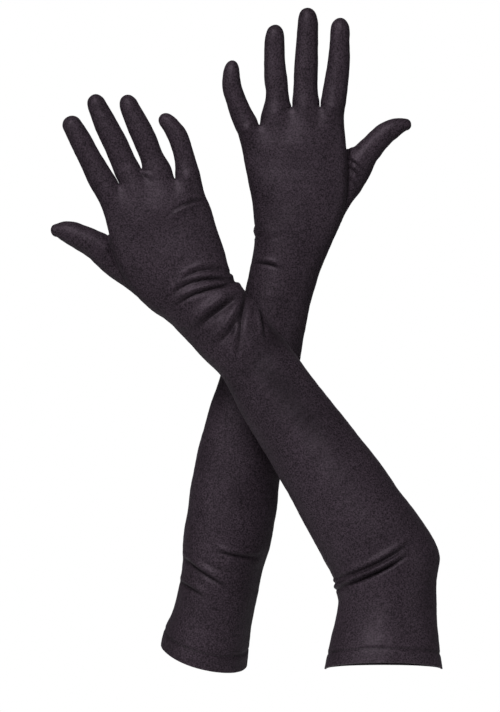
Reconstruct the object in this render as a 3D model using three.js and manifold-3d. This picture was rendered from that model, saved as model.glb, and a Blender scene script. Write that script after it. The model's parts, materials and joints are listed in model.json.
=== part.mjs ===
// A pair of long satin opera gloves, standing as they are worn on two raised, crossed arms.
// Millimetres. +X is to the right, +Y is away from the viewer, +Z is up, and the origin is the
// centre of the right glove's arm opening. The backs of both hands face -Y. Each glove is sewn
// from a back panel and a palm panel, with a set-in thumb. A panel is built here as the
// stretches of it that one bone of the arm or the hand carries.
import * as THREE from 'three';
import Module from 'manifold-3d';

const wasm = await Module();
wasm.setup();

// Driving dimensions
const CLOTH = 1.0; // wall of a panel, standing for 0.5 mm stretch satin
const HEM_CLOTH = 2.0; // wall of the turned-up hem
const SEAM = 0.3; // gap where two pieces of cloth meet
const FINGER_DEPTH = 0.92; // a finger's depth over its width
const ROOT_DEPTH = 10.0; // half depth of the hand where the fingers start
const WEB_SWELL = 0.4; // share of that depth left at a web
const ARM_STEPS = 8; // facets across a panel of the arm
const FINGER_STEPS = 6; // facets across a panel of a finger
const ROOT_STEPS = 4; // facets across a hand panel for each finger
const PANELS = { back: -1, palm: 1 }; // which way each panel faces along Y
const SATIN = { color: 0x2f282e, roughness: 0.55, metalness: 0 };

// A ring is one cross-section of a tube of cloth: [x, z] at the end of its width on the side of
// the thumb, [x, z] at its other end, half its depth, the y of its middle, how steeply its plane
// drops with growing y, and how square it is, where 1 is an ellipse and less is squarer.
function ring(thumb, little, deep, y, lean = 0, square = 1) {
  return { spine: [thumb, little], deep, y, lean, square };
}

const RIGHT = {
  name: 'right',
  hem: [ring([-46.5, 0], [46.5, 0], 38, 0, 0.25), ring([-44, 10.5], [45, 10.5], 37.5, 2.5, 0.22)],
  upper_sleeve: [ring([-40.5, 29.5], [43, 29.5], 36.5, 6.5, 0.12), ring([-35.5, 53], [42, 53], 36, 10, 0.04)],
  elbow: [
    ring([-39, 65], [42.5, 71], 36, 11.5),
    ring([-40.5, 73.5], [45, 90.5], 36.5, 12.5),
    ring([-46, 85], [35.5, 111], 36, 13),
    ring([-55.5, 102.5], [17, 136], 34, 13.5),
  ],
  forearm: [
    ring([-70, 129], [-3.5, 165], 31.5, 15.5),
    ring([-91, 166.5], [-33, 202], 27.5, 19),
    ring([-112.5, 203], [-60, 237], 24.5, 22),
    ring([-129, 233], [-80.5, 264], 22.5, 24),
    ring([-144.5, 249.5], [-97, 285], 21, 25),
  ],
  wrist: [ring([-156.5, 262.5], [-110, 301], 20, 26), ring([-172.5, 278.5], [-120.5, 313.5], 19.5, 26, 0, 0.9)],
  hand: [
    ring([-187, 290.5], [-124.5, 323.5], 19, 26, 0, 0.8),
    ring([-200.5, 305], [-128.5, 337], 18, 26, 0, 0.8),
    ring([-211, 321], [-133.5, 352], 16.5, 26, 0, 0.8),
    ring([-219, 345.5], [-139, 370.5], 15, 26, 0, 0.8),
    ring([-224, 364], [-143, 381], 13.5, 26, 0, 0.8),
  ],
  // [x, z] of the outside of the index finger, the three webs, and the outside of the little finger
  webs: [[-230, 377.5], [-211, 387], [-193, 399], [-167, 391.5], [-146, 395]],
  // [x, z, half width] along each finger, then [x, z] of its tip
  fingers: {
    index: [[-228.5, 396, 10.1], [-235, 409, 9.3], [-243.5, 425.5, 8.2], [-248.5, 435, 7.4], [-252, 442]],
    middle: [[-207, 404, 9.8], [-214.5, 421, 9.4], [-223.5, 440, 8.5], [-228, 450, 7.5], [-231.5, 459.5]],
    ring: [[-183.5, 405.5, 9.6], [-189.5, 421.5, 8.7], [-196.5, 437.5, 8.2], [-201.5, 449, 7.4], [-205.5, 459.5]],
    little: [[-157.5, 402.5, 8.6], [-161, 417, 7.8], [-165, 428, 7.7], [-171, 437, 6.1], [-177, 443.5]],
  },
  thumb_root: [
    ring([-207, 347], [-176, 299], 5.5, 33),
    ring([-217, 346], [-190, 291.5], 8, 35),
    ring([-219.5, 346], [-206, 302], 9.5, 36.5),
    ring([-221, 346.8], [-220, 315], 10, 37),
    ring([-223, 348], [-232, 326], 10.5, 37),
    ring([-226.5, 349.5], [-238, 331], 10.3, 36.5),
  ],
  thumb: [[-242, 346, 9.8], [-253, 351.5, 8.8], [-259.5, 353.5, 7.2], [-266, 352.5]],
};

const LEFT = {
  name: 'left',
  hem: [
    ring([-109.5, 3], [-178.5, 19], 36, 102, -0.21),
    ring([-108, 16], [-176, 30.5], 35.5, 99.5, -0.2),
  ],
  upper_sleeve: [
    ring([-106, 33.5], [-169, 47], 34.5, 96, -0.12),
    ring([-102, 54.5], [-164, 63], 34.5, 92, -0.04),
  ],
  elbow: [
    ring([-97, 77], [-160.5, 83], 35, 90.5),
    ring([-92, 93], [-160.5, 101.5], 34.5, 88.5),
    ring([-87.5, 116], [-157, 125.5], 32.5, 86.5),
  ],
  forearm: [
    ring([-83.5, 147], [-151.5, 159], 29.5, 84),
    ring([-78.5, 181], [-143.5, 193], 27, 82),
    ring([-72.5, 218.5], [-131.5, 231], 24, 80),
    ring([-66, 255], [-120.5, 269], 22.5, 78.5),
    ring([-61, 281], [-113, 293.5], 21, 78),
  ],
  wrist: [ring([-56.5, 299], [-108.5, 311], 20, 78), ring([-51, 317.5], [-104.5, 329], 19.5, 78, 0, 0.9)],
  hand: [
    ring([-45, 336], [-103, 344], 19, 78, 0, 0.8),
    ring([-37, 352], [-103, 359], 18, 78, 0, 0.8),
    ring([-30, 374], [-105, 378], 17, 78, 0, 0.8),
    ring([-28.5, 395], [-109, 395.5], 15.5, 78, 0, 0.8),
    ring([-29, 415], [-111, 407], 14, 78, 0, 0.8),
    ring([-31, 432], [-113.5, 418.5], 12.5, 78, 0, 0.8),
  ],
  webs: [[-31, 447], [-50.5, 449.5], [-73.5, 449.5], [-99, 435.5], [-116.5, 428.5]],
  fingers: {
    index: [[-39, 461.5, 9.4], [-37, 479, 9], [-35, 498.5, 7.8], [-34.5, 511, 7.4], [-35, 521.5]],
    middle: [[-62.5, 463, 9.6], [-62, 482.5, 9.4], [-61, 503, 8.2], [-61, 517.5, 7.7], [-61, 529]],
    ring: [[-85, 457, 9.3], [-86.5, 474.5, 8.8], [-87.5, 492, 7.7], [-87.5, 505.5, 7], [-87, 515.5]],
    little: [[-112, 441, 9], [-117.5, 454.5, 7.9], [-121.5, 468, 6.9], [-122, 477, 6.2], [-120.5, 487]],
  },
  thumb_root: [
    ring([-43, 413], [-46, 368], 5.5, 85),
    ring([-31, 416.5], [-34, 361], 8, 87),
    ring([-28.8, 416.6], [-25.5, 371], 9.5, 88.5),
    ring([-27, 417], [-17.5, 384], 10, 89),
    ring([-25, 417.8], [-11, 396], 10.5, 89),
    ring([-22, 418.7], [-6, 406], 10, 88.5),
  ],
  thumb: [[-7, 421, 9], [1.5, 429.5, 8.2], [9.5, 435.5, 7], [15.5, 437.5, 4.8], [22, 437]],
};

function distance([ax, az], [bx, bz]) {
  return Math.hypot(bx - ax, bz - az);
}

function between([ax, az], [bx, bz], share) {
  return [ax + (bx - ax) * share, az + (bz - az) * share];
}

function middle({ spine }) {
  return between(spine[0], spine.at(-1), 0.5);
}

// The ring a given distance on from one ring towards the next.
function onward(from, to, gap) {
  const share = gap / distance(middle(from), middle(to));
  const mix = (a, b) => a + (b - a) * share;
  const [thumb, little] = from.spine.map((end, i) => between(end, to.spine[i], share));
  return ring(thumb, little, mix(from.deep, to.deep), mix(from.y, to.y), mix(from.lean, to.lean), from.square);
}

// A ring at right angles to a finger that runs from `before` to `after`. `like` is the ring before.
function crossRing(centre, halfWidth, before, after, like, closed = false) {
  const length = distance(before, after);
  const side = [(after[1] - before[1]) / length, (before[0] - after[0]) / length];
  const [thumb, little] = like.spine;
  const turn = Math.sign(side[0] * (little[0] - thumb[0]) + side[1] * (little[1] - thumb[1]));
  const end = (sign) => [centre[0] + sign * turn * halfWidth * side[0], centre[1] + sign * turn * halfWidth * side[1]];
  return { ...ring(end(-1), end(1), halfWidth * FINGER_DEPTH, like.y), closed };
}

// The rings along a finger from its root ring to its rounded tip.
function fingerRings(root, stations) {
  const tip = stations.at(-1);
  const knuckles = stations.slice(0, -1);
  const last = knuckles.at(-1);
  const stops = [middle(root), ...stations];
  const rings = [root];
  knuckles.forEach(([x, z, halfWidth], i) => {
    rings.push(crossRing([x, z], halfWidth, stops[i], stops[i + 2], rings.at(-1)));
  });
  rings.push(crossRing(between(last, tip, 0.6), last[2] * 0.75, last, tip, rings.at(-1)));
  rings.push(crossRing(tip, last[2] * 0.25, last, tip, rings.at(-1), true));
  return rings;
}

// Shares from 0 to 1 across a ring, closer together at the ends of each of `groups` arcs.
function acrossSteps(steps, groups = 1) {
  const shares = [0];
  for (let group = 0; group < groups; group += 1) {
    for (let step = 1; step <= steps; step += 1) {
      shares.push((group + (1 - Math.cos((Math.PI * step) / steps)) / 2) / groups);
    }
  }
  return shares;
}

// How far the cloth stands out at a share across a ring. A spine with webs swells for each finger.
function swell({ spine, square }, across) {
  const fingers = spine.length - 1;
  const share = (across * fingers) % 1;
  const arc = Math.sqrt(1 - (2 * share - 1) ** 2) ** square;
  return across === 0 || across === 1 || fingers === 1 ? arc : Math.max(arc, WEB_SWELL);
}

// Where the cloth of a ring is. `across` runs from 0 at its thumb end to 1 at its other end,
// `side` is that of the panel, and `inset` is the depth into the wall.
function clothPoint(section, across, side, inset) {
  const { spine, y, deep, lean, closed } = section;
  const width = distance(spine[0], spine.at(-1));
  const along = (0.5 + (across - 0.5) * (1 - (2 * inset) / width)) * (spine.length - 1);
  const stretch = Math.min(Math.max(Math.floor(along), 0), spine.length - 2);
  const [x, z] = between(spine[stretch], spine[stretch + 1], along - stretch);
  const depth = closed && inset > 0 ? 0 : Math.max(0, deep * swell(section, across) - inset);
  const out = side * (SEAM / 2 + depth);
  return new THREE.Vector3(x, y + out, z - lean * out);
}

// A closed geometry through loops of equal length. Its ends are closed by joining the first half
// of the end loops to the second half, unless the loops go round and meet.
function loft(loops, round = false) {
  const size = loops[0].length;
  const index = [];
  const quad = (a, b, c, d) => index.push(a, b, c, a, c, d);
  const strips = round ? loops.length : loops.length - 1;
  for (let i = 0; i < strips; i += 1) {
    const here = i * size;
    const next = ((i + 1) % loops.length) * size;
    for (let k = 0; k < size; k += 1) {
      const k1 = (k + 1) % size;
      quad(here + k, here + k1, next + k1, next + k);
    }
  }
  const end = strips * size;
  for (let k = 0; k < size / 2 - 1 && !round; k += 1) {
    quad(k, size - 1 - k, size - 2 - k, k + 1);
    quad(end + k, end + k + 1, end + size - 2 - k, end + size - 1 - k);
  }
  const geometry = new THREE.BufferGeometry().setFromPoints(loops.flat());
  geometry.setIndex(volumeSign(loops, index) < 0 ? index.reverse() : index);
  return geometry;
}

function volumeSign(loops, index) {
  const points = loops.flat();
  let volume = 0;
  for (let i = 0; i < index.length; i += 3) {
    const [a, b, c] = [points[index[i]], points[index[i + 1]], points[index[i + 2]]];
    volume += a.dot(b.clone().cross(c));
  }
  return Math.sign(volume);
}

// One panel of a tube of cloth, as a solid of the wall's thickness.
function panel(rings, shares, side) {
  const layer = (section, order, inset) => order.map((across) => clothPoint(section, across, side, inset));
  const back = [...shares].reverse();
  return loft(rings.map((section) => [...layer(section, shares, 0), ...layer(section, back, CLOTH)]));
}

// The space inside a tube of cloth, as one solid. A negative inset grows it past the outer face.
function filling(rings, shares, inset) {
  const layer = (section, order, side) => order.map((across) => clothPoint(section, across, side, inset));
  const back = [...shares].reverse();
  return loft(rings.map((section) => [...layer(section, shares, -1), ...layer(section, back, 1)]));
}

// A band that goes all the way round between two rings.
function band(rings, shares, wall) {
  const [low, high] = rings;
  const profile = (across, side) => [
    clothPoint(low, across, side, 0),
    clothPoint(high, across, side, 0),
    clothPoint(high, across, side, wall),
    clothPoint(low, across, side, wall),
  ];
  const back = [...shares].reverse();
  return loft([...shares.map((s) => profile(s, -1)), ...back.map((s) => profile(s, 1))], true);
}

function toSolid(geometry) {
  const vertProperties = new Float32Array(geometry.attributes.position.array);
  const triVerts = new Uint32Array(geometry.index.array);
  return new wasm.Manifold(new wasm.Mesh({ numProp: 3, vertProperties, triVerts }));
}

function cut(geometry, tool) {
  const { vertProperties, triVerts } = toSolid(geometry).subtract(toSolid(tool)).getMesh();
  const result = new THREE.BufferGeometry();
  result.setAttribute('position', new THREE.BufferAttribute(vertProperties, 3));
  return result.setIndex(new THREE.BufferAttribute(triVerts, 1));
}

// The root ring of a finger, between two webs and just clear of the hand's top edge.
function rootRing(spec, number, station) {
  const [thumb, little] = spec.webs.slice(number, number + 2);
  const y = spec.hand.at(-1).y;
  const share = SEAM / distance(thumb, little);
  const edge = ring(between(thumb, little, share), between(little, thumb, share), 0, y);
  const deep = (FINGER_DEPTH * distance(...edge.spine)) / 2;
  const lift = SEAM / distance(middle(edge), station);
  const ends = edge.spine.map(([x, z]) => {
    const [cx, cz] = middle(edge);
    return [x + (station[0] - cx) * lift, z + (station[1] - cz) * lift];
  });
  return ring(...ends, deep, y);
}

function glove(spec) {
  const group = new THREE.Group();
  const put = (part, geometry) => {
    geometry.computeVertexNormals();
    const piece = new THREE.Mesh(geometry, new THREE.MeshStandardMaterial(SATIN));
    piece.name = `${spec.name}_${part}`;
    group.add(piece);
  };
  const putPanels = (part, rings, shares, tools = {}) => {
    for (const [name, side] of Object.entries(PANELS)) {
      const cloth = panel(rings, shares, side);
      put(`${part}_${name}`, tools[name] ? cut(cloth, tools[name]) : cloth);
    }
  };
  const armShares = acrossSteps(ARM_STEPS);
  const fingerShares = acrossSteps(FINGER_STEPS);
  const handShares = acrossSteps(ROOT_STEPS, spec.webs.length - 1);

  put('cuff_hem', band(spec.hem, armShares, HEM_CLOTH));
  let last = spec.hem[1];
  for (const stretch of ['upper_sleeve', 'elbow', 'forearm', 'wrist']) {
    putPanels(stretch, [onward(last, spec[stretch][0], SEAM), ...spec[stretch]], armShares);
    last = spec[stretch].at(-1);
  }

  const thumbRings = fingerRings(spec.thumb_root.at(-1), spec.thumb);
  const thumb = [...spec.thumb_root.slice(0, -1), ...thumbRings];
  const thumbHole = filling(spec.thumb_root, fingerShares, CLOTH);
  const handRings = [onward(last, spec.hand[0], SEAM), ...spec.hand];
  const topEdge = { ...ring(0, 0, ROOT_DEPTH, spec.hand.at(-1).y), spine: spec.webs };
  putPanels('hand', [...handRings, topEdge], handShares, { palm: thumbHole });
  const insideHand = filling([last, ...handRings], handShares, -SEAM);
  putPanels('thumb', thumb, fingerShares, { back: insideHand, palm: insideHand });

  Object.entries(spec.fingers).forEach(([finger, stations], number) => {
    const rings = fingerRings(rootRing(spec, number, stations[0]), stations);
    putPanels(`${finger}_base`, rings.slice(0, 3), fingerShares);
    putPanels(`${finger}_tip`, [onward(rings[2], rings[3], SEAM), ...rings.slice(3)], fingerShares);
  });
  return group;
}

const gloves = new THREE.Group();
gloves.add(glove(RIGHT), glove(LEFT));

export default gloves;
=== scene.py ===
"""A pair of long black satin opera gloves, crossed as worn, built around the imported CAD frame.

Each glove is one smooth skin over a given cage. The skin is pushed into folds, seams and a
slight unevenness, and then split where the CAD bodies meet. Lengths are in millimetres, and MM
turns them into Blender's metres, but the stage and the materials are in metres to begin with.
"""
import json
import math

import bpy
import numpy as np
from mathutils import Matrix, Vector


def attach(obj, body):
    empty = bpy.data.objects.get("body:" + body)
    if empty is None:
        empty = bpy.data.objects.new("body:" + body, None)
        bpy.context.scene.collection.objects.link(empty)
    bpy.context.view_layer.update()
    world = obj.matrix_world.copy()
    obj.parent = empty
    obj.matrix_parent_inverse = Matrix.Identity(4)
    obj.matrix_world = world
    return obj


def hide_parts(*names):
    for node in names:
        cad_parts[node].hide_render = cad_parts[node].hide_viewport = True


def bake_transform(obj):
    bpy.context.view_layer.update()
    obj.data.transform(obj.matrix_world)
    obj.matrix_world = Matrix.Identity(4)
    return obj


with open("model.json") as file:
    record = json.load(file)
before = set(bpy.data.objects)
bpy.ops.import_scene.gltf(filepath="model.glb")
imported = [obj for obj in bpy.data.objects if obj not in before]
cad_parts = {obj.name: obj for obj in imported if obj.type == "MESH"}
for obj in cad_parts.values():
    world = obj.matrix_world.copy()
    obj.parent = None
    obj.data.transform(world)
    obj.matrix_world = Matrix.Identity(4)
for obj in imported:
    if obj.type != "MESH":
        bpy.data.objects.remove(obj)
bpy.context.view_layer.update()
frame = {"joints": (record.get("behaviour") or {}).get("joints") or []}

MM = 0.001
SEED = 7  # of every random draw
FINGERS = ("index", "middle", "ring", "little")
PANELS = ("back", "palm")
# Regions of the skin, each of which becomes a piece. Each finger counts on from BASE and TIP.
HEM, SLEEVE, HAND, BASE, TIP, THUMB = 0, 1, 2, 3, 7, 11

# The cage
LEVELS = 3  # subdivisions of the cage
FIT_ROUNDS = 4  # corrections that bring the smooth skin through the cage's points
ROW_STEP = 13.0  # longest gap between cage rows on the arm
FINGER_STEP = 6.5  # longest gap between cage loops on a finger
ROOT_SHARES = (0.146, 0.5, 0.854)  # where a finger's three columns lie across it
SIDE_COLUMNS = len(FINGERS) * len(ROOT_SHARES)  # on each panel, between the side seams
HOLE_WIDTH = 3  # columns of the palm panel that the thumb's hole spans
STATION_Y = 5  # the place of y in a station
DIGIT_Y = 6  # the place of y in a row of a finger or thumb
FINGER_DEPTH = 0.93  # a finger's depth over its width
ROOT_DEPTH = 10.5  # half depth of the hand where the fingers start
TIP_LOOPS = ((0.5, 0.866), (0.85, 0.53))  # how far on, and how wide, a digit's last loops are
THUMB_EASE = (0.35, 0.7)  # loops between the hole in the palm and the thumb's first row
THENAR = 2.0  # how far those loops swell towards the palm
BASE_SHORT = 4.0  # the least that a finger's base piece stops short of the second station

# The cloth
CLOTH = 0.5  # thickness of the satin
HEM_CLOTH = 1.1  # thickness of the turned-up hem
NO_AREA = 1e-12  # keeps a rim face of no area from a division by zero
PLUMP = 0.35  # how far the worn cloth stands out from the fitted skin
UNEVEN = 0.28  # height of the broad unevenness of the worn cloth
UNEVEN_WAVES = (14, 60, 22)  # number of waves, the longest and the shortest
FINE = 0.08  # height of the fine unevenness
FINE_WAVES = (14, 14, 7)

# A fold: a ridge with a crease on its right
FOLD_SAMPLES = 24  # points along its curve
FOLD_REACH = 4.0  # how far it is felt, in widths of its ridge
FOLD_ENDS = (0.02, 0.98)  # shares of its curve beyond which it fades no further
FOLD_FADE = 0.6  # how it fades towards its ends: the lower, the later
FOLD_FACING = (-0.15, 0.35)  # how far the skin faces its side where it starts, and is whole
CREASE_DEPTH = 1.1  # how deep the crease is, over the ridge's height
CREASE_OFFSET = 1.5  # how far the crease is from the ridge, in widths of the ridge
CREASE_WIDTH = 0.8  # how wide the crease is, over the ridge's width
PAINTED_SHADE_STRENGTH = 0.8  # how much darker the satin is painted at the bottom of a crease, and wherever its painted shade is whole

# The seams and the hem's stitched line
SEAM_REACH = 9.0  # how far the columns beside a seam are from it
SEAM_DEPTH = 0.25
SEAM_WIDTH = 0.9
SEAM_PAINTED_SHADE = 0.9  # how much painted shade the bottom of a seam gets, out of 1
SEAM_PAINTED_SHADE_WIDTH = 1.7
LIP = 0.12  # height of the lip beside a seam
LIP_OFFSET = 2.2  # how far the lip is from the seam, in widths of the seam
PUCKER_MEAN = 0.7  # how much of the lip there is
PUCKER_SWING = 0.5  # how much that varies along the seam
PUCKER_WAVES = (6, 9, 5)
HEM_NEAR = 8.0  # how far above its stitched line the hem is felt
HEM_LINE_DEPTH = 0.7
HEM_LINE_WIDTH = 1.3
# how much painted shade the hem's stitched line gets
HEM_LINE_PAINTED_SHADE = 0.5
STITCH = 2.1  # length of a stitch
STITCH_STEP = 2.9  # from one stitch to the next
STITCH_LIFT = 0.05  # how far the middle of the thread is above the skin
STITCH_RINGS = (-1, -0.75, 0, 0.75, 1)  # where a stitch's rings are, from end to end
STITCH_BLUNT = 1.001  # just over 1, which leaves the ends of a stitch a small face
THREAD = 0.45  # thickness of the thread
THREAD_SIDES = 6

# The length of each joint's bend span, where vertices don't fix both its ends
ELBOW_BEND = 90.0
WRIST_BEND = 38.0
THUMB_BEND = 22.0
TIP_BEND = 11.0

# The materials
BLACK = (0.029, 0.0208, 0.0278)
BODY_ROUGHNESS = 0.5
HEM_ROUGHNESS = 0.48
SATIN_SHEEN = {
    "Specular IOR Level": 0.18,
    "Specular Tint": (1.0, 0.82, 0.98, 1),
    "Sheen Weight": 0.04,
    "Sheen Roughness": 0.4,
    "Sheen Tint": (0.9, 0.78, 0.9, 1),
}
NOISE_SPAN = (0.3, 0.7)  # the values of a noise that give its least and its most shade
GRAIN = (820.0, 1.0)  # scale and detail of the fine grain
GRAIN_SHADES = (0.3, 1.75)
GRAIN_STRENGTH = 0.5  # of its bump
GRAIN_HEIGHT = 0.0002
CLOUD = (28.0, 3.0)  # scale and detail of the uneven depth of colour
CLOUD_SHADES = (0.85, 1.15)
THREAD_BLACK = (0.02, 0.016, 0.02)
THREAD_ROUGHNESS = 0.6
FLOOR_WHITE = (0.85, 0.85, 0.85)
FLOOR_ROUGHNESS = 0.8

# The stage
VIEW_HEIGHT = 0.5696  # height of the picture
VIEW_CENTRE = (-0.1068, 0.2504)  # x and z of its middle
GLOVES_Y = 0.05  # about the middle of the gloves, from front to back
CAMERA_AWAY = 16.0
SENSOR = 36  # side of the camera's sensor, in millimetres
FLOOR = 0.5  # half the side of the floor
FLOOR_Z = -0.075
WORLD_LIGHT = 0.06
SOFT_BOXES = (
    # name, place, size, watts, and whether it gives highlights
    ("key_box", (-0.9, -2.1, 2.2), (1.3, 1.3), 74, True),
    ("left_box", (-1.8, -1.1, 0.5), (0.6, 1.2), 5, True),
    ("right_box", (1.6, -1.1, 0.5), (0.6, 1.2), 5, True),
    ("back_box", (-0.1, 2.8, 0.9), (1.3, 1.3), 34, False),
)


def station(thumb, little, deep, y, lean=0.0, square=1.0, arch=0.0):
    """One cross-section: [x, z] of its thumb-side and little-finger-side edges, half its depth,
    the y of its middle, the slope of its plane, how square it is, and how far its back and its
    palm rise above its edges."""
    return [*thumb, *little, deep, y, lean, square, arch]


# What the entries of a glove hold:
# - split_z is the height where the sleeve ends and the hand's piece starts.
# - Each flat size is a girth and a length. base_length and tip_length are the flat lengths of
#   the fingers' pieces.
# - Each way is the direction that the cloth runs in where it bends.
# - A fold is three [x, z] that its curve starts at, bends towards and ends at, its width and its
#   height. Where they aren't the usual ones, its side, its crease's depth over its height, and how
#   much painted shade the crease gets come next.
# - arm and hand are the stations from the hem up. thumb_rows are the hand's first and last beside
#   the thumb's hole.
# - webs are the [x, z] where the fingers part, with the index finger's outer side first.
# - A finger or a thumb is the [x, z] and half width of each station, and the [x, z] of its tip.
RIGHT = {
    "name": "right",
    "split_z": 195,
    "hem_flat": (264, 12),
    "sleeve_flat": (225, 215),
    "hand_flat": (200, 193),
    "thumb_flat": (82, 63),
    "base_length": (25, 24, 23, 20),
    "tip_length": (43, 52, 50, 38),
    "elbow_way": (-0.3, 0, 0.95),
    "wrist_way": (-0.66, 0, 0.75),
    "thumb_way": (-0.654, 0.65, -0.38),
    "folds": [
        # the wrist, on the little finger's side
        ((-165, 311), (-151, 327), (-125, 322.5), 2.2, 1.4),
        ((-172.4, 301.2), (-152.8, 320.2), (-118, 313), 1.9, 2.2),
        ((-169, 293), (-154.5, 306), (-115, 311), 1.9, 2.2),
        ((-156, 276), (-139.5, 290.5), (-116, 305), 4.4, 2.8),
        ((-137.2, 264.2), (-117.5, 279), (-115, 306), 4, 2.4),
        ((-120.6, 249), (-119, 272), (-111, 304), 2.4, 1.5),
        ((-97.2, 264.2), (-98, 281.5), (-106, 298), 1.7, 1.6),
        # the hollows below the wrist: shallow dents, darkened mostly by painted shade
        ((-131, 246), (-108, 268), (-86, 300), 14, 0.4, -1, 3, 0.5),
        ((-60, 163), (-93, 204), (-126, 245), 15, 0.3, -1, 3, 0.7),
        # the little finger's edge of the wrist, on both panels
        ((-112, 318), (-119, 316), (-126, 313), 1.6, 0.8, 0),
        ((-112, 309), (-119, 307.5), (-126, 305), 2, 1.1, 0),
        # the back of the hand
        ((-141.5, 373), (-153, 374), (-169.5, 363), 1.6, 1.6),
        ((-194, 399), (-190, 395.5), (-185, 395), 1.7, 1.4),
        # the crook of the elbow
        ((-42, 66), (-4, 79), (18, 94), 2, 2.8),
        ((-44, 73.5), (3, 87.5), (20, 106), 2.4, 1.7),
        ((-48, 69), (-38, 71), (-30, 73), 1.6, 1.0, 0),
        ((-48, 63.5), (-38, 65), (-30, 67), 1.4, 0.7, 0),
        # the palm side
        ((-168, 299), (-150, 314), (-116, 309), 2.6, 1.3, 1),
        ((-160, 287), (-143, 300), (-114, 302), 3, 1.2, 1),
        ((-175, 309), (-152, 324), (-124, 319), 2.2, 0.9, 1),
        ((-44, 66), (-10, 72), (16, 92), 2.6, 1.9, 1),
        ((-46, 75), (-14, 84), (14, 106), 3, 1.2, 1),
        ((-190, 352), (-170, 352), (-146, 366), 2, 0.6, 1),
    ],
    "arm": [
        station((-47, 0), (46.8, 0), 38, 0, 0.04, 1, 0.11),
        station((-44.3, 12), (45.2, 12), 37.5, 2.5, 0.04, 1, 0.1),
        station((-40.5, 29.5), (43.5, 29.5), 36.5, 6.5, 0.02, 1, 0.05),
        station((-35.5, 53), (42.6, 53), 36, 10),
        station((-38.5, 65), (42.6, 71), 36, 11.5),
        station((-39.6, 73.5), (45, 90.5), 36.5, 12.5),
        station((-46, 85), (35.5, 111), 36, 13),
        station((-55.5, 102.5), (17, 136), 34, 13.5),
        station((-70, 129), (-3.5, 165), 31.5, 15.5),
        station((-91, 166.5), (-33, 202), 27.5, 19),
        station((-112.5, 203), (-60, 237), 24.5, 22),
        station((-129, 233), (-80.5, 264), 22.5, 24),
        station((-144.5, 249.5), (-97, 285), 21, 25),
        station((-156.5, 262.5), (-110, 301), 20, 26),
        station((-172.5, 278.5), (-120.5, 313.5), 19.5, 26, 0, 0.9),
    ],
    "hand": [
        station((-188, 289.6), (-124.5, 323.5), 19, 26, 0, 0.8),
        station((-201.8, 304), (-128.5, 337), 18, 26, 0, 0.8),
        station((-211.6, 320.6), (-133.5, 352), 16.5, 26, 0, 0.8),
        station((-219, 345.5), (-139, 370.5), 15, 26, 0, 0.8),
        station((-224, 364), (-143.5, 381), 13.5, 26, 0, 0.8),
    ],
    "thumb_rows": (0, 3),
    "webs": [(-230, 377.5), (-211, 387), (-193, 399), (-167, 391.5), (-147, 395)],
    "fingers": {
        "index": [
            (-228.5, 396, 10.1), (-235.3, 409, 9.3), (-243.8, 425.5, 8.3), (-249, 435, 7.5),
            (-252.8, 441.5),
        ],
        "middle": [
            (-207.3, 404, 9.9), (-215, 421, 9.5), (-224.2, 440, 8.6), (-228.8, 450, 7.6),
            (-232.3, 459.3),
        ],
        "ring": [
            (-184, 405.5, 9.8), (-190.3, 421.5, 9), (-197.6, 437.5, 8.5), (-202.8, 449, 7.7),
            (-207.3, 459),
        ],
        "little": [
            (-157.8, 402.5, 8.6), (-161.3, 417, 7.8), (-165.4, 428, 7.6), (-171.8, 437, 6.1),
            (-178, 443),
        ],
    },
    "thumb_root": [
        station((-221, 346.8), (-220, 315), 10, 36.5),
        station((-223, 348), (-232, 326), 10.5, 36.5),
        station((-226.5, 349.5), (-238, 331), 10.3, 36.5),
    ],
    "thumb": [
        (-242.3, 345.4, 10), (-251.5, 349.4, 8.9), (-258, 350.8, 7), (-262, 350.9, 5.2),
        (-266.4, 350),
    ],
}

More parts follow.
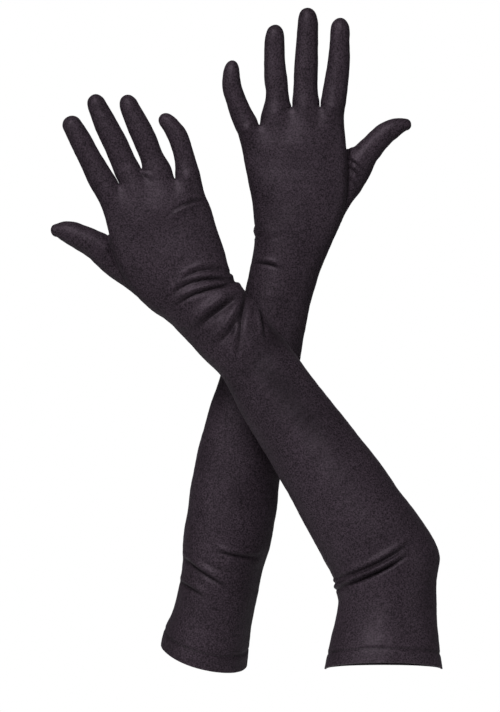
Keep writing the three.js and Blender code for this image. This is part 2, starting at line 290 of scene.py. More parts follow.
LEFT = {
    "name": "left",
    "split_z": 205,
    "hem_flat": (236, 12),
    "sleeve_flat": (208, 192),
    "hand_flat": (185, 208),
    "thumb_flat": (86, 64),
    "base_length": (27, 29, 28, 20),
    "tip_length": (52, 57, 51, 38),
    "elbow_way": (0.2, 0, 0.98),
    "wrist_way": (0.24, 0, 0.97),
    "thumb_way": (0.74, 0.65, 0.1),
    "folds": [
        # the inside of the elbow
        ((-160, 92), (-141, 76), (-122, 67), 2.2, 2.2),
        ((-164, 73.5), (-152.5, 66), (-141, 58.5), 1.9, 1.7),
        ((-134, 97.5), (-120.5, 92), (-101, 92), 2.1, 1.6),
        ((-144, 91), (-132, 82), (-116, 79), 2.4, 0.6),
        # the wrist and the little finger's edge of the hand
        ((-103, 327.5), (-93, 328.5), (-83, 323.5), 1.9, 1.5),
        ((-108, 349.5), (-102, 349.5), (-95, 350), 1.8, 0.8, 0),
        ((-95, 352), (-102, 352), (-108, 352.5), 1.8, 0.5, 0),
        ((-98, 345), (-92, 348), (-84, 349), 1.5, 0.5),
        # the base of the thumb
        ((-28, 412), (-20, 407), (-12, 400), 1.5, 0.8),
        ((-28, 405), (-21, 401), (-15, 395), 1.5, 0.7),
        ((-29, 397), (-24, 393), (-18, 388), 1.4, 0.6),
        # the palm side
        ((-106, 318), (-85, 326), (-58, 318), 2.6, 1.2, 1),
        ((-108, 308), (-85, 315), (-60, 306), 2.8, 1, 1),
        ((-158, 84), (-130, 74), (-104, 84), 2.8, 1.6, 1),
        ((-156, 96), (-130, 88), (-100, 97), 2.8, 1.1, 1),
        ((-104, 396), (-82, 384), (-60, 402), 2, 0.6, 1),
    ],
    "arm": [
        station((-109.5, 2), (-178.3, 18), 36, 102, -0.33),
        station((-108, 15), (-175.4, 29.5), 35.5, 99.5, -0.31),
        station((-106, 33), (-168.3, 46.5), 34.5, 96, -0.18),
        station((-102, 54.5), (-164, 63), 34.5, 92, -0.04),
        station((-97, 77), (-160.5, 83), 35, 90.5),
        station((-92, 93), (-160.5, 101.5), 34.5, 88.5),
        station((-87.5, 116), (-157, 125.5), 32.5, 86.5),
        station((-83.5, 147), (-151.5, 159), 29.5, 84),
        station((-78.5, 181), (-143.5, 193), 27, 82),
        station((-72.5, 218.5), (-131.5, 231), 24, 80),
        station((-66, 255), (-120.5, 269), 22.5, 78.5),
        station((-61, 281), (-113, 293.5), 21, 78),
        station((-56.5, 299), (-108.5, 311), 20, 78),
        station((-51, 317.5), (-104.5, 329), 19.5, 78, 0, 0.9),
    ],
    "hand": [
        station((-43.8, 336), (-103, 344), 19, 78, 0, 0.8),
        station((-34.6, 356), (-103.3, 362), 18, 78, 0, 0.8),
        station((-29.8, 376), (-105.5, 379), 17, 78, 0, 0.8),
        station((-28.5, 396), (-109, 396), 15.5, 78, 0, 0.8),
        station((-29, 415), (-111, 407), 14, 78, 0, 0.8),
        station((-31, 432), (-113.5, 418.5), 12.5, 78, 0, 0.8),
    ],
    "thumb_rows": (1, 4),
    "webs": [(-31, 447), (-50.5, 449.5), (-73.5, 449.5), (-99, 435.5), (-116.5, 428.5)],
    "fingers": {
        "index": [
            (-38.8, 461.5, 9.4), (-36.6, 479, 9.1), (-34.6, 498.5, 8.1), (-34.2, 511, 7.7),
            (-34.7, 522),
        ],
        "middle": [
            (-62.2, 463, 9.6), (-61.7, 482.5, 9.4), (-60.6, 503, 8.4), (-60.4, 517.5, 8),
            (-60.7, 530),
        ],
        "ring": [
            (-84.8, 457, 9.4), (-86.2, 474.5, 9), (-87, 492, 8.1), (-87.2, 505.5, 7.4),
            (-86.8, 516.5),
        ],
        "little": [
            (-112, 441, 9), (-117.5, 454.5, 7.9), (-121.7, 468, 7), (-122, 477, 6.4),
            (-120.7, 488),
        ],
    },
    "thumb_root": [
        station((-27, 417), (-17.5, 384), 10, 88.5),
        station((-25, 417.8), (-11, 396), 10.5, 88.5),
        station((-22, 418.7), (-6, 406), 10, 88.5),
    ],
    "thumb": [
        (-7.5, 419.5, 9.4), (0.1, 428, 8.5), (7.2, 433, 7.6), (13.2, 435.6, 6.3),
        (18.2, 436.6, 4.6), (22.6, 436.4),
    ],
}


# ---------------------------------------------------------------- the cage

def hermite_rows(rows, spread, step):
    """Rows eased in between the given ones, so that no gap between two is longer than step. The
    gaps are measured in spread, which is where each row is."""
    rows = np.array(rows, float)
    at = np.concatenate([[0], np.cumsum(np.linalg.norm(np.diff(spread, axis=0), axis=1))])
    slope = np.gradient(rows, at, axis=0)
    made = [rows[0]]
    for i in range(len(rows) - 1):
        gap = at[i + 1] - at[i]
        count = max(1, math.ceil(gap / step))
        for k in range(1, count + 1):
            t = k / count
            made.append(
                rows[i] * (1 + 2 * t) * (1 - t) ** 2
                + rows[i + 1] * t * t * (3 - 2 * t)
                + slope[i] * gap * t * (1 - t) ** 2
                - slope[i + 1] * gap * t * t * (1 - t)
            )
    return made


def row_middle(row):
    """The [x, z] halfway between the edges of a cross-section."""
    return [(row[0] + row[2]) / 2, (row[1] + row[3]) / 2]


def section_point(row, across, side):
    """Where the cloth of a cross-section is, from 0 at its thumb edge to 1 at its other edge."""
    tx, tz, lx, lz, deep, y, lean, square, arch = row
    out = side * deep * math.sqrt(max(0.0, 1 - (2 * across - 1) ** 2)) ** square
    z = tz + (lz - tz) * across - lean * out + arch * abs(out)
    return [tx + (lx - tx) * across, y + out, z]


def columns_across(hand_share):
    """Shares across a row for its columns: even round the arm, gathered by finger at the hand."""
    arm = [(1 - math.cos(math.pi * j / (SIDE_COLUMNS + 1))) / 2 for j in range(1, SIDE_COLUMNS + 1)]
    hand = [(k + share) / len(FINGERS) for k in range(len(FINGERS)) for share in ROOT_SHARES]
    return [a + (h - a) * hand_share for a, h in zip(arm, hand)]


class Cage:
    """Vertices with attributes and faces with regions, gathered before they become a mesh."""

    def __init__(self):
        self.points = []
        self.seam = []
        self.faces = []
        self.regions = []

    def add(self, point, seam=0.0):
        """Adds a vertex, and gives its number."""
        self.points.append(point)
        self.seam.append(seam)
        return len(self.points) - 1

    def face(self, corners, region):
        """Adds a face."""
        self.faces.append(list(corners))
        self.regions.append(region)

    def tube(self, lower, upper, region, skip=()):
        """Adds a band of faces between two loops of vertices, less those to skip."""
        count = len(lower)
        for k in range(count):
            if k not in skip:
                k1 = (k + 1) % count
                self.face([lower[k], lower[k1], upper[k1], upper[k]], region)


def unit(vector):
    """A vector of length 1 in the same direction."""
    vector = np.array(vector, float)
    return vector / np.linalg.norm(vector)


def facing(direction, like):
    """The sideways direction of a loop: square to the way on, on the side like another vector."""
    side = unit((direction[1], -direction[0]))
    return side if side @ np.array(like, float) > 0 else -side


def digit_rows(first, stations, y):
    """Rows on along a finger or thumb from the one given, [x, z, half width, side x, side z, half
    depth, y], through every station and in to the tip, which is the second thing returned."""
    tip = np.array(stations[-1], float)
    stops = [first[:2]] + [np.array(s[:2], float) for s in stations]
    rows = [first]
    for i, (x, z, half) in enumerate(stations[:-1]):
        side = facing(stops[i + 2] - stops[i], first[3:5])
        rows.append(np.array([x, z, half, *side, half * FINGER_DEPTH, y]))
    made = hermite_rows(rows, [row[:2] for row in rows], FINGER_STEP)[1:]
    last = made[-1]
    side = facing(tip - last[:2], first[3:5])
    for along, size in TIP_LOOPS:
        centre = last[:2] + (tip - last[:2]) * along
        made.append(np.array([*centre, last[2] * size, *side, last[5] * size, y]))
    return made, tip


def digit_loop(row, count):
    """Points round a digit, from its thumb-side seam over its back and round by its palm."""
    x, z, half, side_x, side_z, deep, y = row
    side = unit((side_x, side_z))
    points = []
    for j in range(count):
        turn = 2 * math.pi * j / count
        out = -math.cos(turn) * half
        points.append([x + side[0] * out, y - deep * math.sin(turn), z + side[1] * out])
    return points


def add_digit(cage, loop, rows, tip, region_at):
    """A digit on from the loop of vertices that it grows out of, closed at its tip."""
    count = len(loop)
    for row in rows:
        points = digit_loop(row, count)
        upper = [cage.add(p, seam=float(j % (count // 2) == 0)) for j, p in enumerate(points)]
        cage.tube(loop, upper, region_at(row))
        loop = upper
    end = cage.add([tip[0], rows[-1][DIGIT_Y], tip[1]], seam=1.0)
    for j in range(0, count, 2):
        cage.face([loop[j], loop[j + 1], loop[(j + 2) % count], end], region_at(rows[-1]))


def add_thumb(cage, spec, rings):
    """The thumb, grown out of a hole in the palm panel beside the hand's thumb-side edge."""
    low, high = spec["thumb_rows"]
    # Round the hole: its low side, the seam, its high side and then its inner side.
    hole = [rings[low][-k] for k in range(HOLE_WIDTH - 1, 0, -1)]
    hole += [rings[row][0] for row in range(low, high + 1)]
    hole += [rings[high][-k] for k in range(1, HOLE_WIDTH + 1)]
    hole += [rings[row][-HOLE_WIDTH] for row in range(high - 1, low - 1, -1)]
    for vertex in hole:
        cage.seam[vertex] = 1.0
    rows = []
    for upper_x, upper_z, lower_x, lower_z, deep, y, *_ in spec["thumb_root"]:
        middle = ((upper_x + lower_x) / 2, (upper_z + lower_z) / 2)
        across = (upper_x - lower_x, upper_z - lower_z)
        rows.append(np.array([*middle, math.hypot(*across) / 2, *unit(across), deep, y]))
    on, tip = digit_rows(rows[-1], spec["thumb"], rows[-1][DIGIT_Y])
    loop = hole
    for share in THUMB_EASE:
        upper = []
        for vertex, point in zip(hole, digit_loop(rows[0], len(hole))):
            eased = np.array(cage.points[vertex]) * (1 - share) + np.array(point) * share
            eased[1] += THENAR * math.sin(math.pi * share)
            upper.append(cage.add(list(eased)))
        cage.tube(loop, upper, THUMB)
        loop = upper
    add_digit(cage, loop, rows + on, tip, lambda row: THUMB)


def hand_top(cage, spec, lower):
    """The row where the fingers start, with a vertex at each web. Returns each finger's loop."""
    webs = [np.array(web, float) for web in spec["webs"]]
    y = spec["hand"][-1][STATION_Y]
    ends = [cage.add([w[0], y, w[1]], seam=1.0) for w in webs]
    sides = {-1: [], 1: []}
    for side, made in sides.items():
        for k in range(len(FINGERS)):
            for share in ROOT_SHARES:
                x, z = webs[k] + (webs[k + 1] - webs[k]) * share
                out = side * ROOT_DEPTH * math.sqrt(1 - (2 * share - 1) ** 2)
                made.append(cage.add([x, y + out, z]))
    back, palm = sides[-1], sides[1]
    cage.tube(lower, [ends[0], *back, ends[-1], *palm[::-1]], HAND)
    loops = []
    for k in range(len(FINGERS)):
        at = len(ROOT_SHARES) * k
        next_at = at + len(ROOT_SHARES)
        loops.append([ends[k], *back[at:next_at], ends[k + 1], *palm[at:next_at][::-1]])
        if k + 1 < len(FINGERS):
            cage.face([back[next_at - 1], back[next_at], ends[k + 1]], HAND)
            cage.face([palm[next_at], palm[next_at - 1], ends[k + 1]], HAND)
    return loops


def add_arm_and_hand(cage, spec):
    """The tube from hem to knuckles, less the hole for the thumb. Returns the hand's rings."""
    arm = hermite_rows(spec["arm"], [row_middle(row) for row in spec["arm"]], ROW_STEP)
    split = next(i for i, row in enumerate(arm) if row_middle(row)[1] > spec["split_z"])
    low, high = spec["thumb_rows"]
    rings = []
    for number, row in enumerate(arm + [np.array(r, float) for r in spec["hand"]]):
        at_hand = number - len(arm)
        share = max(0, at_hand + 1) / (len(spec["hand"]) + 1)
        columns = columns_across(share)
        ring = [cage.add(section_point(row, 0.0, 1), seam=1.0)]
        ring += [cage.add(section_point(row, across, -1)) for across in columns]
        ring += [cage.add(section_point(row, 1.0, 1), seam=1.0)]
        for k in range(SIDE_COLUMNS, 0, -1):
            in_hole = low < at_hand < high and k < HOLE_WIDTH
            ring.append(None if in_hole else cage.add(section_point(row, columns[k - 1], 1)))
        rings.append(ring)
    for i in range(len(rings) - 1):
        region = HEM if i == 0 else SLEEVE if i < split else HAND
        count = len(rings[i])
        at_hand = i - len(arm)
        skip = range(count - HOLE_WIDTH, count) if low <= at_hand < high else ()
        cage.tube(rings[i], rings[i + 1], region, skip)
    return rings[len(arm):]


def finger_root(spec, k):
    """A finger's root, as [x, z]: its middle, the chord across it and the way on from its middle
    to the finger's second station."""
    thumb, little = (np.array(web, float) for web in spec["webs"][k:k + 2])
    middle = (thumb + little) / 2
    second = np.array(spec["fingers"][FINGERS[k]][1][:2])
    return middle, little - thumb, second - middle


def glove_cage(spec):
    """The cage of a whole glove."""
    cage = Cage()
    rings = add_arm_and_hand(cage, spec)
    loops = hand_top(cage, spec, rings[-1])
    add_thumb(cage, spec, rings)
    y = spec["hand"][-1][STATION_Y]
    for k, (name, loop) in enumerate(zip(FINGERS, loops)):
        middle, chord, way = finger_root(spec, k)
        root = np.array([*middle, math.hypot(*chord) / 2, *unit(chord), ROOT_DEPTH, y])
        rows, tip = digit_rows(root, spec["fingers"][name], y)
        along = unit(way)
        reach = along @ way - BASE_SHORT

        def region_at(row, k=k, middle=middle, along=along, reach=reach):
            return BASE + k if along @ (row[:2] - middle) <= reach else TIP + k

        add_digit(cage, loop, rows, tip, region_at)
    if spec["name"] == "left":
        # The same loops run the other way round a left hand.
        cage.faces = [face[::-1] for face in cage.faces]
    return cage


# ---------------------------------------------------------------- from cage to smooth skin

def linked(name, data):
    """A new object in the scene that shows some data."""
    made = bpy.data.objects.new(name, data)
    bpy.context.scene.collection.objects.link(made)
    return made


def cage_object(cage):
    """The cage as an object, with its regions as material numbers."""
    mesh = bpy.data.meshes.new("cage")
    mesh.from_pydata(cage.points, [], cage.faces)
    mesh.polygons.foreach_set("material_index", cage.regions)
    seam = mesh.attributes.new("seam", "FLOAT", "POINT")
    seam.data.foreach_set("value", cage.seam)
    return linked("cage", mesh)


def smoothed(made, levels):
    """The subdivided mesh of an object, with every vertex on the limit surface."""
    subdivision = made.modifiers.new("smooth", "SUBSURF")
    subdivision.levels = levels
    subdivision.render_levels = levels
    subdivision.use_limit_surface = True
    subdivision.quality = 5
    evaluated = made.evaluated_get(bpy.context.evaluated_depsgraph_get())
    mesh = bpy.data.meshes.new_from_object(evaluated)
    made.modifiers.remove(subdivision)
    return mesh


def positions(mesh):
    """The places of a mesh's vertices, one row each."""
    flat = np.empty(3 * len(mesh.vertices))
    mesh.vertices.foreach_get("co", flat)
    return flat.reshape(-1, 3)


def fitted_skin(cage):
    """The smooth skin whose surface passes through the cage's points."""
    made = cage_object(cage)
    target = np.array(cage.points, float)
    control = target.copy()
    for _ in range(FIT_ROUNDS):
        mesh = smoothed(made, 1)
        control += target - positions(mesh)[:len(target)]
        bpy.data.meshes.remove(mesh)
        made.data.vertices.foreach_set("co", control.ravel())
        made.data.update()
    skin = smoothed(made, LEVELS)
    bpy.data.objects.remove(made)
    return skin


# ---------------------------------------------------------------- folds, seams and unevenness

class Skin:
    """A whole glove's outer surface as arrays. flat is where its vertices were before any fold,
    and crease is how much painted shade each one gets, from 0 to 1."""

    def __init__(self, mesh):
        self.points = positions(mesh)
        count = len(mesh.polygons)
        corners = np.empty(4 * count, int)
        mesh.loops.foreach_get("vertex_index", corners)
        self.faces = corners.reshape(-1, 4)
        self.regions = np.empty(count, int)
        mesh.polygons.foreach_get("material_index", self.regions)
        self.seam = np.empty(len(self.points))
        mesh.attributes["seam"].data.foreach_get("value", self.seam)
        self.flat = self.points.copy()
        self.crease = np.zeros(len(self.points))
        self.find_normals()

    def find_normals(self):
        """Works out each vertex's normal from the faces round it."""
        a, b, c, d = (self.points[self.faces[:, k]] for k in range(4))
        across = np.cross(c - a, d - b)
        normals = np.zeros_like(self.points)
        for k in range(4):
            np.add.at(normals, self.faces[:, k], across)
        self.normals = normals / np.linalg.norm(normals, axis=1)[:, None]

    def push(self, out):
        """Moves each vertex out along its normal."""
        self.points += self.normals * out[:, None]
        self.find_normals()

    def shared(self, one, other):
        """The numbers of the vertices that two regions share."""
        return np.intersect1d(self.faces[self.regions == one], self.faces[self.regions == other])


def waves(points, random, count, longest, shortest):
    """Gentle unevenness, about -1 to 1: sine waves in many directions."""
    total = np.zeros(len(points))
    for _ in range(count):
        direction = random.normal(size=3)
        direction *= 2 * math.pi / random.uniform(shortest, longest) / np.linalg.norm(direction)
        total += np.sin(points @ direction + random.uniform(0, 2 * math.pi))
    return total / math.sqrt(count)


def smoothstep(values, low, high):
    """From 0 at low to 1 at high, with no kink at either."""
    t = np.clip((values - low) / (high - low), 0, 1)
    return t * t * (3 - 2 * t)


def hump(values, width):
    """1 where the values are 0, and falling smoothly away on both sides."""
    return np.exp(-((values / width) ** 2))


def fold(skin, start, bend, end, width, height, side=-1, crease=CREASE_DEPTH, shade=None):
    """How far a fold pushes each vertex out, and how much painted shade its crease gives each one,
    from
    0 to 1: a ridge along a curve, with a crease on the right of it. It is on the back where side is
            -1,
    on the palm where side is 1, and on both where it's 0."""
    # the painted shade of the crease, unless given, is its height over its width, at most 1
    if shade is None:
        shade = min(1.0, height / width)
    t = np.linspace(0, 1, FOLD_SAMPLES)[:, None]
    start, bend, end = (np.array(p, float) for p in (start, bend, end))
    curve = start * (1 - t) ** 2 + 2 * bend * t * (1 - t) + end * t * t
    flat = skin.flat[:, [0, 2]]
    reach = FOLD_REACH * width
    near = np.all((flat > curve.min(0) - reach) & (flat < curve.max(0) + reach), axis=1)
    chosen = np.flatnonzero(near)
    best = np.full(len(chosen), np.inf)
    offset = np.zeros(len(chosen))
    share = np.zeros(len(chosen))
    for i in range(len(curve) - 1):
        step = curve[i + 1] - curve[i]
        away = flat[chosen] - curve[i]
        along = np.clip(away @ step / (step @ step), 0, 1)
        rest = away - along[:, None] * step
        gap = np.linalg.norm(rest, axis=1)
        closer = gap < best
        best[closer] = gap[closer]
        sign = np.sign(away[:, 0] * step[1] - away[:, 1] * step[0])
        offset[closer] = (gap * sign)[closer]
        share[closer] = ((i + along) / (len(curve) - 1))[closer]
    fade = np.sin(math.pi * np.clip(share, *FOLD_ENDS)) ** FOLD_FADE
    ridge = hump(offset, width)
    dip = hump(offset - CREASE_OFFSET * width, CREASE_WIDTH * width)
    out = np.zeros(len(flat))
    inside = np.zeros(len(flat))
    out[chosen] = height * fade * (ridge - crease * dip)
    # painted shade along the crease
    inside[chosen] = fade * dip * shade
    if side:
        here = smoothstep(skin.normals[:, 1] * side, *FOLD_FACING)
        return out * here, inside * here
    return out, inside


def sew(skin, random):
    """Sinks the seams between the panels and paints shade along them, with small puckers beside
    them.
    """
    beside = (1 - skin.seam) * SEAM_REACH
    groove = -SEAM_DEPTH * hump(beside, SEAM_WIDTH)
    lip = LIP * hump(beside - LIP_OFFSET * SEAM_WIDTH, SEAM_WIDTH)
    pucker = PUCKER_MEAN + PUCKER_SWING * waves(skin.points, random, *PUCKER_WAVES)
    # painted shade along the bottom of each seam
    shade = SEAM_PAINTED_SHADE * hump(beside, SEAM_PAINTED_SHADE_WIDTH)
    skin.crease = np.maximum(skin.crease, shade)
    return groove + lip * pucker


def hem_line(skin):
    """Sinks the line where the turned-up hem is stitched, and paints shade along it."""
    line = skin.flat[skin.shared(HEM, SLEEVE)]
    near = np.unique(skin.faces[(skin.regions == HEM) | (skin.regions == SLEEVE)])
    near = near[skin.flat[near, 2] < line[:, 2].max() + HEM_NEAR]
    gaps = np.linalg.norm(skin.flat[near, None] - line[None], axis=2).min(1)
    groove = hump(gaps, HEM_LINE_WIDTH)
    out = np.zeros(len(skin.points))
    out[near] = -HEM_LINE_DEPTH * groove
    # painted shade along the stitched line
    skin.crease[near] = np.maximum(skin.crease[near], HEM_LINE_PAINTED_SHADE * groove)
    return out


def shape(skin, spec, random):
    """Pushes the skin into all its folds, seams and unevenness."""
    total = np.zeros(len(skin.points))
    for item in spec["folds"]:
        out, inside = fold(skin, *item)
        total += out
        # the creases' painted shade
        skin.crease = np.maximum(skin.crease, inside)
    skin.push(total)
    uneven = UNEVEN * waves(skin.flat, random, *UNEVEN_WAVES)
    fine = FINE * waves(skin.flat, random, *FINE_WAVES)
    skin.push(PLUMP + uneven + fine + sew(skin, random) + hem_line(skin))


# ---------------------------------------------------------------- the pieces

def edges_once(faces):
    """The directed edges that only one of the faces has, as pairs of vertex numbers."""
    pairs = np.concatenate([faces[:, [k, (k + 1) % 4]] for k in range(4)])
    low, high = pairs.min(1), pairs.max(1)
    code = low * (faces.max() + 1) + high
    _, first, counts = np.unique(code, return_index=True, return_counts=True)
    return pairs[first[counts == 1]]


def store_rest(mesh, points):
    """Stores where each vertex is at rest, so that the satin's grain stays fixed to the cloth."""
    rest = mesh.attributes.new("rest", "FLOAT_VECTOR", "POINT")
    rest.data.foreach_set("vector", (points * MM).ravel())


def cloth_piece(name, skin, region, thickness, material, body):
    """One piece of cloth: a region's faces, given a thickness and a rim."""
    faces = skin.faces[skin.regions == region]
    used, renumbered = np.unique(faces, return_inverse=True)
    faces = renumbered.reshape(-1, 4)
    outer = skin.points[used]
    normals = skin.normals[used]
    count = len(used)
    rim = edges_once(faces)
    walls = np.column_stack([rim[:, 1], rim[:, 0], rim[:, 0] + count, rim[:, 1] + count])
    every = np.concatenate([faces, faces[:, ::-1] + count, walls])
    points = np.concatenate([outer, outer - normals * thickness])
    mesh = bpy.data.meshes.new(name)
    mesh.vertices.add(len(points))
    mesh.vertices.foreach_set("co", (points * MM).ravel())
    mesh.loops.add(every.size)
    mesh.loops.foreach_set("vertex_index", every.ravel())
    mesh.polygons.add(len(every))
    mesh.polygons.foreach_set("loop_start", np.arange(0, every.size, 4))
    mesh.update(calc_edges=True)
    mesh.polygons.foreach_set("use_smooth", np.ones(len(every), bool))
    store_rest(mesh, points)
    # the painted shade of the creases, seams, hem line and hollows, which the satin reads
    crease = mesh.attributes.new("crease", "FLOAT", "POINT")
    crease.data.foreach_set("value", np.tile(skin.crease[used], 2))
    a, b, c, d = (points[walls[:, k]] for k in range(4))
    flat_wall = np.cross(c - a, d - b)
    flat_wall /= np.linalg.norm(flat_wall, axis=1)[:, None] + NO_AREA
    by_corner = np.concatenate([
        normals[faces.ravel()],
        -normals[faces[:, ::-1].ravel()],
        np.repeat(flat_wall, 4, axis=0),
    ])
    mesh.normals_split_custom_set(by_corner.tolist())
    mesh.materials.append(material)
    piece = linked(name, mesh)
    if isinstance(body, str):
        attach(piece, body)
    else:
        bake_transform(piece)
    return piece


def reach_along(skin, vertices, direction):
    """The least and the greatest reach of some vertices along a direction, in millimetres."""
    along = skin.points[vertices] @ direction
    return along.min(), along.max()


def bend(skin, near, far, below, above, direction, centre, length=None):
    """The bend goes from where the vertices `below` end to where those `above` start. Where
    there are none below, a length of it is centred on the joint, and where there are none
    above, it goes on for that length."""
    direction = unit(direction)
    centre = np.array(centre, float)
    offset = centre @ direction
    start = reach_along(skin, below, direction)[1] if below is not None else offset - length / 2
    end = reach_along(skin, above, direction)[0] if above is not None else start + length
    first = centre + direction * (start - offset)
    last = centre + direction * (end - offset)
    return near, far, tuple(first * MM), tuple(last * MM)


def stitches(name, skin, loop, material, body):
    """A row of short stitches along a loop of vertices, as one piece of thread."""
    closed = np.append(loop, loop[0])
    path = skin.points[closed]
    normals = skin.normals[closed]
    at = np.concatenate([[0], np.cumsum(np.linalg.norm(np.diff(path, axis=0), axis=1))])
    points = []
    faces = []
    for number in range(int(at[-1] / STITCH_STEP)):
        middle = (number + 0.5) * STITCH_STEP
        point, before, after, out = (
            np.array([np.interp(t, at, values[:, k]) for k in range(3)])
            for t, values in (
                (middle, path),
                (middle - STITCH / 2, path),
                (middle + STITCH / 2, path),
                (middle, normals),
            )
        )
        along = unit(after - before)
        side = unit(np.cross(along, out))
        first = len(points)
        for share in STITCH_RINGS:
            radius = math.sqrt(STITCH_BLUNT - share * share) * THREAD / 2
            centre = point + along * share * STITCH / 2 + out * STITCH_LIFT
            for turn in range(THREAD_SIDES):
                angle = turn * 2 * math.pi / THREAD_SIDES
                aside = side * radius * math.cos(angle)
                points.append(centre + aside + out * radius * math.sin(angle))
        last = len(points) - THREAD_SIDES
        for ring in range(first, last, THREAD_SIDES):
            for turn in range(THREAD_SIDES):
                a = ring + turn
                b = ring + (turn + 1) % THREAD_SIDES
                faces.append([a, b, b + THREAD_SIDES, a + THREAD_SIDES])
        faces.append([first + turn for turn in reversed(range(THREAD_SIDES))])
        faces.append([last + turn for turn in range(THREAD_SIDES)])
    points = np.array(points)
    mesh = bpy.data.meshes.new(name)
    mesh.from_pydata((points * MM).tolist(), [], faces)
    mesh.polygons.foreach_set("use_smooth", np.ones(len(faces), bool))
    store_rest(mesh, points)
    mesh.materials.append(material)
    piece = linked(name, mesh)
    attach(piece, body)
    return piece


def ordered_loop(skin, one, other):
    """The vertices that two regions share, in order round the arm."""
    faces = skin.faces[skin.regions == one]
    border = set(skin.shared(one, other).tolist())
    follows = {a: b for a, b in edges_once(faces).tolist() if a in border and b in border}
    first = min(follows)
    loop = [first]
    while follows[loop[-1]] != first:
        loop.append(follows[loop[-1]])
    return np.array(loop)


def pivot(name):
    """Where a joint turns."""
    joint = next(joint for joint in frame["joints"] if joint["name"] == name)
    return np.array(joint["pos_m"]) / MM


def add_glove(spec, satins, thread, random):
    """One glove: its skin, split into pieces that stand in for its hidden CAD parts. Only the hem
    and its stitches are attached to a body.
    """
    name = spec["name"]
    skin = Skin(fitted_skin(glove_cage(spec)))
    shape(skin, spec, random)
    upper_arm = f"{name}_upper_arm"
    forearm = f"{name}_forearm"
    hand = f"{name}_hand"

    def body_satin(piece_name, region, body):
        return cloth_piece(piece_name, skin, region, CLOTH, satins["body"], body)

    hem = cloth_piece(f"{name}_hem", skin, HEM, HEM_CLOTH, satins["hem"], upper_arm)
    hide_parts(f"{name}_cuff_hem")
    line = ordered_loop(skin, HEM, SLEEVE)
    hem_stitches = stitches(f"{name}_hem_stitches", skin, line, thread, upper_arm)

    elbow = bend(skin, upper_arm, forearm, None, None, spec["elbow_way"],
                 pivot(f"{name}_elbow"), ELBOW_BEND)
    sleeve = body_satin(f"{name}_sleeve", SLEEVE, elbow)
    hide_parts(*(f"{name}_{part}_{panel}" for panel in PANELS
                          for part in ("upper_sleeve", "elbow", "forearm")))

    wrist = bend(skin, forearm, hand, None, None, spec["wrist_way"],
                 pivot(f"{name}_wrist"), WRIST_BEND)
    hand_piece = body_satin(f"{name}_hand", HAND, wrist)
    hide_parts(*(f"{name}_{part}_{panel}" for panel in PANELS
                              for part in ("wrist", "hand")))

    thumb_hole = skin.shared(HAND, THUMB)
    thumb_bend = bend(skin, hand, f"{name}_thumb", thumb_hole, None, spec["thumb_way"],
                      pivot(f"{name}_thumb_root"), THUMB_BEND)
    thumb = body_satin(f"{name}_thumb", THUMB, thumb_bend)
    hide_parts(*(f"{name}_thumb_{panel}" for panel in PANELS))

    for k, finger in enumerate(FINGERS):
        base_name = f"{name}_{finger}_base"
        tip_name = f"{name}_{finger}_tip"
        _, _, (way_x, way_z) = finger_root(spec, k)
        way = (way_x, 0, way_z)
        root = skin.shared(HAND, BASE + k)
        middle = skin.shared(BASE + k, TIP + k)
        base_bend = bend(skin, hand, base_name, root, middle, way,
                         pivot(f"{name}_{finger}_knuckle"))
        base = body_satin(base_name, BASE + k, base_bend)
        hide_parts(*(f"{base_name}_{panel}" for panel in PANELS))
        tip_bend = bend(skin, base_name, tip_name, middle, None, way,
                        pivot(f"{name}_{finger}_middle_joint"), TIP_BEND)
        tip = body_satin(tip_name, TIP + k, tip_bend)
        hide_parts(*(f"{tip_name}_{panel}" for panel in PANELS))


# ---------------------------------------------------------------- materials and stage

def stored(tree, name):
    """A node that reads a value stored on the mesh."""
    node = tree.nodes.new("ShaderNodeAttribute")
    node.attribute_name = name
    return node


def noise(tree, where, scale, detail):
    """The output of a noise of a scale and a detail."""
    node = tree.nodes.new("ShaderNodeTexNoise")
    node.inputs["Scale"].default_value = scale
    node.inputs["Detail"].default_value = detail
    tree.links.new(where, node.inputs["Vector"])
    return node.outputs["Fac"]


def mapped(tree, value, span, results):
    """The output of a map from the two ends of a span to two results."""
    node = tree.nodes.new("ShaderNodeMapRange")
    node.inputs["From Min"].default_value, node.inputs["From Max"].default_value = span
    node.inputs["To Min"].default_value, node.inputs["To Max"].default_value = results
    tree.links.new(value, node.inputs["Value"])
    return node.outputs["Result"]


def product(tree, one, other):
    """The output of a multiplication."""
    node = tree.nodes.new("ShaderNodeMath")
    node.operation = "MULTIPLY"
    tree.links.new(one, node.inputs[0])
    tree.links.new(other, node.inputs[1])
    return node.outputs[0]


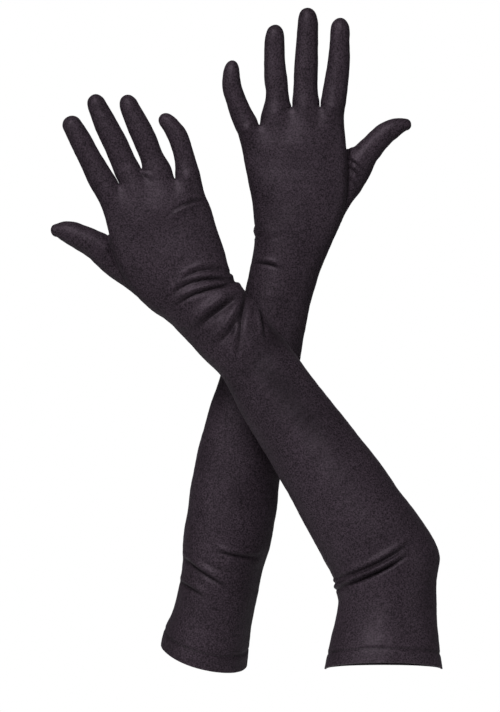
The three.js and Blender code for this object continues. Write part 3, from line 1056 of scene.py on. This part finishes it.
def satin(name, colour, roughness):
    """Black stretch satin: a fine grain, a soft sheen, slightly uneven depth of colour and painted
    shade, stored on the mesh, in its creases, seams, hem line and hollows.
    """
    material = bpy.data.materials.new(name)
    material.use_nodes = True
    tree = material.node_tree
    shader = tree.nodes["Principled BSDF"]
    shader.inputs["Roughness"].default_value = roughness
    for socket, value in SATIN_SHEEN.items():
        shader.inputs[socket].default_value = value
    where = stored(tree, "rest").outputs["Vector"]
    grain = noise(tree, where, *GRAIN)
    cloud = noise(tree, where, *CLOUD)
    # painted shade: the stored value darkens the colour in creases, seams, the hem's line and the
    # hollows
    crease = stored(tree, "crease").outputs["Fac"]
    grain_shade = mapped(tree, grain, NOISE_SPAN, GRAIN_SHADES)
    cloud_shade = mapped(tree, cloud, NOISE_SPAN, CLOUD_SHADES)
    painted_shade = mapped(tree, crease, (0.0, 1.0), (1.0, 1.0 - PAINTED_SHADE_STRENGTH))
    shade = product(tree, product(tree, grain_shade, cloud_shade), painted_shade)
    dye = tree.nodes.new("ShaderNodeVectorMath")
    dye.operation = "SCALE"
    dye.inputs[0].default_value = colour
    tree.links.new(shade, dye.inputs["Scale"])
    tree.links.new(dye.outputs["Vector"], shader.inputs["Base Color"])
    bump = tree.nodes.new("ShaderNodeBump")
    bump.inputs["Strength"].default_value = GRAIN_STRENGTH
    bump.inputs["Distance"].default_value = GRAIN_HEIGHT
    tree.links.new(grain, bump.inputs["Height"])
    tree.links.new(bump.outputs["Normal"], shader.inputs["Normal"])
    return material


def plain(name, colour, roughness):
    """A material of one colour."""
    material = bpy.data.materials.new(name)
    material.use_nodes = True
    shader = material.node_tree.nodes["Principled BSDF"]
    shader.inputs["Base Color"].default_value = (*colour, 1)
    shader.inputs["Roughness"].default_value = roughness
    return material


def white_world():
    """White behind the gloves, and a faint white light on them."""
    world = bpy.data.worlds.new("white")
    world.use_nodes = True
    nodes = world.node_tree.nodes
    links = world.node_tree.links
    seen = nodes["Background"]
    seen.inputs["Color"].default_value = (1, 1, 1, 1)
    seen.inputs["Strength"].default_value = 1.0
    light = nodes.new("ShaderNodeBackground")
    light.inputs["Color"].default_value = (1, 1, 1, 1)
    light.inputs["Strength"].default_value = WORLD_LIGHT
    path = nodes.new("ShaderNodeLightPath")
    mix = nodes.new("ShaderNodeMixShader")
    links.new(path.outputs["Is Camera Ray"], mix.inputs["Fac"])
    links.new(light.outputs[0], mix.inputs[1])
    links.new(seen.outputs[0], mix.inputs[2])
    links.new(mix.outputs[0], nodes["World Output"].inputs["Surface"])
    bpy.context.scene.world = world


def soft_box(name, place, target, size, power, shines):
    """A soft light aimed at a target. One that doesn't shine gives no highlights."""
    light = bpy.data.lights.new(name, "AREA")
    light.shape = "RECTANGLE"
    light.size, light.size_y = size
    light.energy = power
    lamp = linked(name, light)
    lamp.location = place
    lamp.visible_glossy = shines
    lamp.rotation_euler = (Vector(target) - Vector(place)).to_track_quat("-Z", "Y").to_euler()


def add_stage():
    """The camera square on to the backs of the hands, the floor and the lights."""
    view_x, view_z = VIEW_CENTRE
    camera = bpy.data.cameras.new("camera")
    camera.sensor_width = SENSOR
    camera.sensor_height = SENSOR
    camera.sensor_fit = "VERTICAL"
    camera.lens = SENSOR * CAMERA_AWAY / VIEW_HEIGHT
    eye = linked("camera", camera)
    eye.location = (view_x, -CAMERA_AWAY, view_z)
    eye.rotation_euler = (math.pi / 2, 0, 0)
    bpy.context.scene.camera = eye

    floor_mesh = bpy.data.meshes.new("floor")
    corners = [(-FLOOR, -FLOOR), (FLOOR, -FLOOR), (FLOOR, FLOOR), (-FLOOR, FLOOR)]
    points = [(x + view_x, y + GLOVES_Y, FLOOR_Z) for x, y in corners]
    floor_mesh.from_pydata(points, [], [(0, 1, 2, 3)])
    floor_mesh.materials.append(plain("floor_white", FLOOR_WHITE, FLOOR_ROUGHNESS))
    floor = linked("floor", floor_mesh)

    target = (view_x, GLOVES_Y, view_z)
    for name, place, size, power, shines in SOFT_BOXES:
        soft_box(name, place, target, size, power, shines)
    white_world()
    bpy.context.scene.view_settings.view_transform = "Standard"
    bpy.context.scene.view_settings.look = "None"


random = np.random.default_rng(SEED)
satins = {
    "body": satin("black_satin", BLACK, BODY_ROUGHNESS),
    "hem": satin("hem_satin", BLACK, HEM_ROUGHNESS),
}
thread = plain("black_thread", THREAD_BLACK, THREAD_ROUGHNESS)
for glove in (RIGHT, LEFT):
    add_glove(glove, satins, thread, random)
add_stage()
